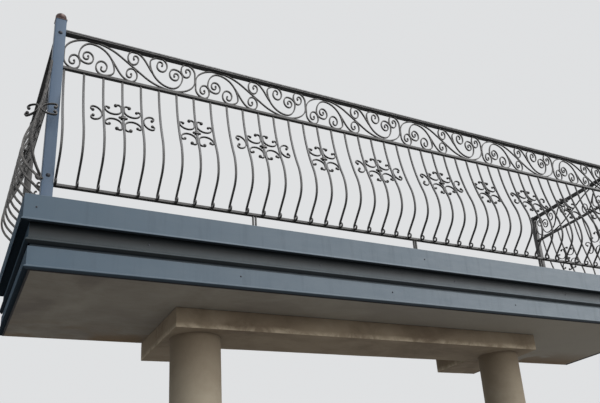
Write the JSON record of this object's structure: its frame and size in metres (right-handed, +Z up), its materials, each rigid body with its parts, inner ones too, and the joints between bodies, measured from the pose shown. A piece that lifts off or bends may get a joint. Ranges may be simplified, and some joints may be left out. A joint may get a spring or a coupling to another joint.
{
  "type": "balcony with a wrought iron belly railing",
  "caption": "Plastered slab on a downstand beam and round columns, with sheet metal edge bands and a bellied wrought iron railing under a scroll frieze.",
  "frame": {"origin": "middle of the slab's rear face, where the slab meets the house wall", "axes": "+X along the wall, to the right as seen from the street; +Y into the house; +Z up"},
  "size_m": [5.1042, 1.271, 4.8115],
  "materials": {
    "plaster": "matte",
    "column_plaster": "matte",
    "floor": "matte",
    "sheet_metal": "satin",
    "post_paint": "satin",
    "finial": "satin",
    "iron": "satin"
  },
  "bodies": {
    "root": {"slab": "plaster", "floor_finish": "floor", "beam_front": "plaster", "beam_left": "plaster", "beam_right": "plaster", "column_left": "column_plaster", "column_right": "column_plaster", "fascia_upper_front": "sheet_metal", "fascia_upper_left": "sheet_metal", "fascia_upper_right": "sheet_metal", "fascia_middle_front": "sheet_metal", "fascia_middle_left": "sheet_metal", "fascia_middle_right": "sheet_metal", "fascia_lower_front": "sheet_metal", "fascia_lower_left": "sheet_metal", "fascia_lower_right": "sheet_metal", "corner_post_left": "post_paint", "corner_post_right": "post_paint", "finial_left": "finial", "finial_right": "finial", "wall_post_left": "iron", "wall_post_right": "iron", "handrail_front": "iron", "handrail_left": "iron", "handrail_right": "iron", "mid_rail_front": "iron", "mid_rail_left": "iron", "mid_rail_right": "iron", "bottom_rail_front": "iron", "bottom_rail_left": "iron", "bottom_rail_right": "iron", "rail_legs": "iron", "balusters_front_left": "iron", "balusters_front_right": "iron", "balusters_left": "iron", "balusters_right": "iron", "corner_bars": "iron", "frieze_front_left": "iron", "frieze_front_right": "iron", "frieze_left": "iron", "frieze_right": "iron", "rosettes_front": "iron", "rosettes_left": "iron", "rosettes_right": "iron"}
  },
  "joints": []
}
